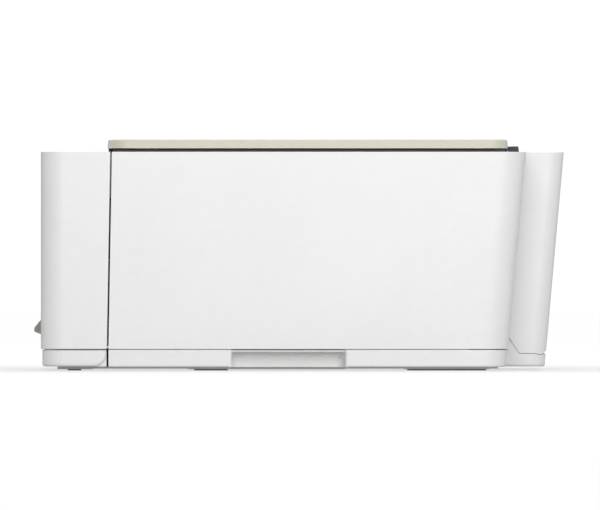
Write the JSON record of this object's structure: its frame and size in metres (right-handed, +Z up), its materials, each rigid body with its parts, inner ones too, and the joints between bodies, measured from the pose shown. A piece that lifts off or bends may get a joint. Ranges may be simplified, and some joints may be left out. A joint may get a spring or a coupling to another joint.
{
  "type": "multifunction printer",
  "caption": "Compact white printer and flatbed scanner with a hinged lid, wrap-around front door, paper cassette, pull-out output tray and hinged rear cover.",
  "frame": {"origin": "on the ground under the middle of the machine's outline", "axes": "+X to the right seen from the front, +Y towards the rear, +Z up"},
  "size_m": [0.435, 0.3644, 0.1578],
  "materials": {
    "shell_white": "fine satin moulded",
    "lid_beige": "fine satin moulded",
    "button_grey": "satin moulded",
    "trim_dark": "fine moulded",
    "chassis_grey": "moulded",
    "gear_white": "moulded",
    "steel": "drawn bright",
    "rail_sheet": "galvanised sheet",
    "roller_rubber": "ground rubber",
    "foot_rubber": "soft",
    "glass": "polished",
    "display_black": "high gloss",
    "pad_white": "film-faced foam",
    "board_green": "solder mask",
    "ink_black": "moulded",
    "ink_color": "moulded"
  },
  "bodies": {
    "base": {"base_tub": "shell_white", "bay_roof": "chassis_grey", "feet": "foot_rubber", "outer_casing": "shell_white", "chassis": "chassis_grey", "chassis_screws": "steel", "control_deck": "shell_white", "display_window": "display_black", "circuit_boards": "board_green", "scanner_bed": "trim_dark", "scanner_top_frame": "trim_dark", "platen_glass": "glass", "lid_hinge_mounts": "trim_dark", "hinge_pins": "steel", "guide_rods": "steel", "drive_belts": "roller_rubber", "drive_motors": "steel", "nip_bars": "rail_sheet", "platen": "chassis_grey", "upper_paper_guide": "chassis_grey", "output_tray": "lid_beige", "carriage_rail": "rail_sheet", "service_station": "chassis_grey", "power_supply": "steel", "rear_sockets": "trim_dark"},
    "lid": {"scanner_lid": "lid_beige", "lid_backing_pad": "pad_white", "lid_bumpers": "foot_rubber", "lid_hinge_leaves": "trim_dark"},
    "door": {"front_door": "shell_white"},
    "rear_door": {"rear_cover": "shell_white", "rear_paper_guide": "trim_dark"},
    "cassette": {"paper_cassette": "shell_white"},
    "guide_left": {"width_guide_left": "chassis_grey"},
    "guide_right": {"width_guide_right": "chassis_grey"},
    "guide_pinion": {"width_pinion": "chassis_grey"},
    "guide_length": {"length_guide": "chassis_grey"},
    "extender": {"output_extender": "lid_beige"},
    "scan_head": {"scan_carriage": "chassis_grey"},
    "scan_idler": {"scan_pulley": "gear_white"},
    "print_head": {"carriage": "trim_dark", "ink_cartridge_black": "ink_black", "ink_cartridge_color": "ink_color"},
    "latch_black": {"cartridge_latch_black": "ink_black"},
    "latch_color": {"cartridge_latch_color": "ink_color"},
    "belt_idler": {"idler_pulley": "gear_white"},
    "belt_drive": {"drive_pulley": "gear_white"},
    "feed_shaft": {"feed_roller": "roller_rubber"},
    "exit_shaft": {"exit_roller": "roller_rubber"},
    "gear_idler": {"idler_gear": "gear_white"},
    "gear_pinion": {"motor_pinion": "gear_white"},
    "pinch_shaft": {"pinch_rollers": "gear_white"},
    "star_shaft": {"star_wheels": "gear_white"},
    "turn_shaft": {"turn_roller": "roller_rubber"},
    "pick_lever": {"pick_arm": "chassis_grey"},
    "pick_wheel": {"pick_roller": "roller_rubber"},
    "power_button_cap": {"power_button": "button_grey"},
    "wireless_button_cap": {"wireless_button": "button_grey"},
    "copy_button_cap": {"copy_button": "button_grey"},
    "cancel_button_cap": {"cancel_button": "button_grey"}
  },
  "joints": [
    {"name": "lid_hinge", "type": "hinge", "parent": "base", "child": "lid", "pos_m": [0, 0.14625, 0.1509], "axis": [-1, 0, 0], "range_deg": [0, 85]},
    {"name": "front_door_hinge", "type": "hinge", "parent": "base", "child": "door", "pos_m": [0, -0.17125, 0.0196], "axis": [1, 0, 0], "range_deg": [0, 65]},
    {"name": "rear_cover_hinge", "type": "hinge", "parent": "base", "child": "rear_door", "pos_m": [0, 0.1658, 0.01665], "axis": [-1, 0, 0], "range_deg": [0, 60]},
    {"name": "cassette_slide", "type": "slide", "parent": "base", "child": "cassette", "axis": [0, -1, 0], "range_m": [0, 0.24]},
    {"name": "width_guide_slide", "type": "slide", "parent": "cassette", "child": "guide_left", "axis": [1, 0, 0], "range_m": [0, 0.055]},
    {"name": "width_guide_right_slide", "type": "slide", "parent": "cassette", "child": "guide_right", "axis": [-1, 0, 0], "range_m": [0, 0.055]},
    {"name": "width_pinion_turn", "type": "hinge", "parent": "cassette", "child": "guide_pinion", "pos_m": [0, -0.0124, 0], "axis": [0, 0, 1], "range_deg": [-460, 460]},
    {"name": "length_guide_slide", "type": "slide", "parent": "cassette", "child": "guide_length", "axis": [0, 1, 0], "range_m": [0, 0.14]},
    {"name": "extender_slide", "type": "slide", "parent": "base", "child": "extender", "axis": [0, -1, 0], "range_m": [0, 0.14]},
    {"name": "scan_carriage_slide", "type": "slide", "parent": "base", "child": "scan_head", "axis": [1, 0, 0], "range_m": [0, 0.3484]},
    {"name": "scan_idler_turn", "type": "hinge", "parent": "base", "child": "scan_idler", "pos_m": [-0.1952, 0.02215, 0], "axis": [0, 0, 1], "continuous": true},
    {"name": "print_carriage_slide", "type": "slide", "parent": "base", "child": "print_head", "axis": [-1, 0, 0], "range_m": [0, 0.28]},
    {"name": "latch_black_turn", "type": "hinge", "parent": "print_head", "child": "latch_black", "pos_m": [0, -0.0551, 0.1054], "axis": [-1, 0, 0], "range_deg": [0, 14]},
    {"name": "latch_color_turn", "type": "hinge", "parent": "print_head", "child": "latch_color", "pos_m": [0, -0.0551, 0.1054], "axis": [-1, 0, 0], "range_deg": [0, 14]},
    {"name": "belt_idler_turn", "type": "hinge", "parent": "base", "child": "belt_idler", "pos_m": [0.172, 0, 0.0904], "axis": [0, 1, 0], "continuous": true},
    {"name": "belt_drive_turn", "type": "hinge", "parent": "base", "child": "belt_drive", "pos_m": [-0.172, 0, 0.0904], "axis": [0, 1, 0], "continuous": true},
    {"name": "feed_roller_turn", "type": "hinge", "parent": "base", "child": "feed_shaft", "pos_m": [0, -0.0501, 0.0437], "axis": [1, 0, 0], "continuous": true},
    {"name": "exit_roller_turn", "type": "hinge", "parent": "base", "child": "exit_shaft", "pos_m": [0, -0.1101, 0.0445], "axis": [1, 0, 0], "continuous": true},
    {"name": "idler_gear_turn", "type": "hinge", "parent": "base", "child": "gear_idler", "pos_m": [0, -0.0841, 0.04415], "axis": [1, 0, 0], "continuous": true},
    {"name": "motor_pinion_turn", "type": "hinge", "parent": "base", "child": "gear_pinion", "pos_m": [0, -0.02473, 0.05294], "axis": [1, 0, 0], "continuous": true},
    {"name": "pinch_roller_turn", "type": "hinge", "parent": "base", "child": "pinch_shaft", "pos_m": [0, -0.0501, 0.0535], "axis": [1, 0, 0], "continuous": true},
    {"name": "star_wheel_turn", "type": "hinge", "parent": "base", "child": "star_shaft", "pos_m": [0, -0.1101, 0.054], "axis": [1, 0, 0], "continuous": true},
    {"name": "turn_roller_turn", "type": "hinge", "parent": "base", "child": "turn_shaft", "pos_m": [0, 0.13882, 0.0329], "axis": [1, 0, 0], "continuous": true},
    {"name": "pick_arm_turn", "type": "hinge", "parent": "base", "child": "pick_lever", "pos_m": [0, 0.10882, 0.0264], "axis": [-1, 0, 0], "range_deg": [-6, 14]},
    {"name": "pick_roller_turn", "type": "hinge", "parent": "pick_lever", "child": "pick_wheel", "pos_m": [0, 0.08336, 0.0174], "axis": [1, 0, 0], "continuous": true},
    {"name": "power_button_press", "type": "slide", "parent": "base", "child": "power_button_cap", "axis": [0, 0, -1], "range_m": [0, 0.0008], "stiffness_N_per_m": 400},
    {"name": "wireless_button_press", "type": "slide", "parent": "base", "child": "wireless_button_cap", "axis": [0, 0, -1], "range_m": [0, 0.0008], "stiffness_N_per_m": 400},
    {"name": "copy_button_press", "type": "slide", "parent": "base", "child": "copy_button_cap", "axis": [0, 0, -1], "range_m": [0, 0.0008], "stiffness_N_per_m": 400},
    {"name": "cancel_button_press", "type": "slide", "parent": "base", "child": "cancel_button_cap", "axis": [0, 0, -1], "range_m": [0, 0.0008], "stiffness_N_per_m": 400}
  ],
  "couplings": [
    {"joint": "width_guide_right_slide", "follows": "width_guide_slide", "ratio": 1},
    {"joint": "width_pinion_turn", "follows": "width_guide_slide", "rad_per_m": 142.86},
    {"joint": "scan_idler_turn", "follows": "scan_carriage_slide", "rad_per_m": 153.85},
    {"joint": "belt_idler_turn", "follows": "print_carriage_slide", "rad_per_m": 142.86},
    {"joint": "belt_drive_turn", "follows": "print_carriage_slide", "rad_per_m": 142.86},
    {"joint": "exit_roller_turn", "follows": "feed_roller_turn", "ratio": 1.5714},
    {"joint": "idler_gear_turn", "follows": "feed_roller_turn", "ratio": -1.8333},
    {"joint": "motor_pinion_turn", "follows": "feed_roller_turn", "ratio": -4.4},
    {"joint": "pinch_roller_turn", "follows": "feed_roller_turn", "ratio": -1.7143},
    {"joint": "star_wheel_turn", "follows": "feed_roller_turn", "ratio": -2.0429},
    {"joint": "turn_roller_turn", "follows": "feed_roller_turn", "ratio": 0.33333}
  ]
}
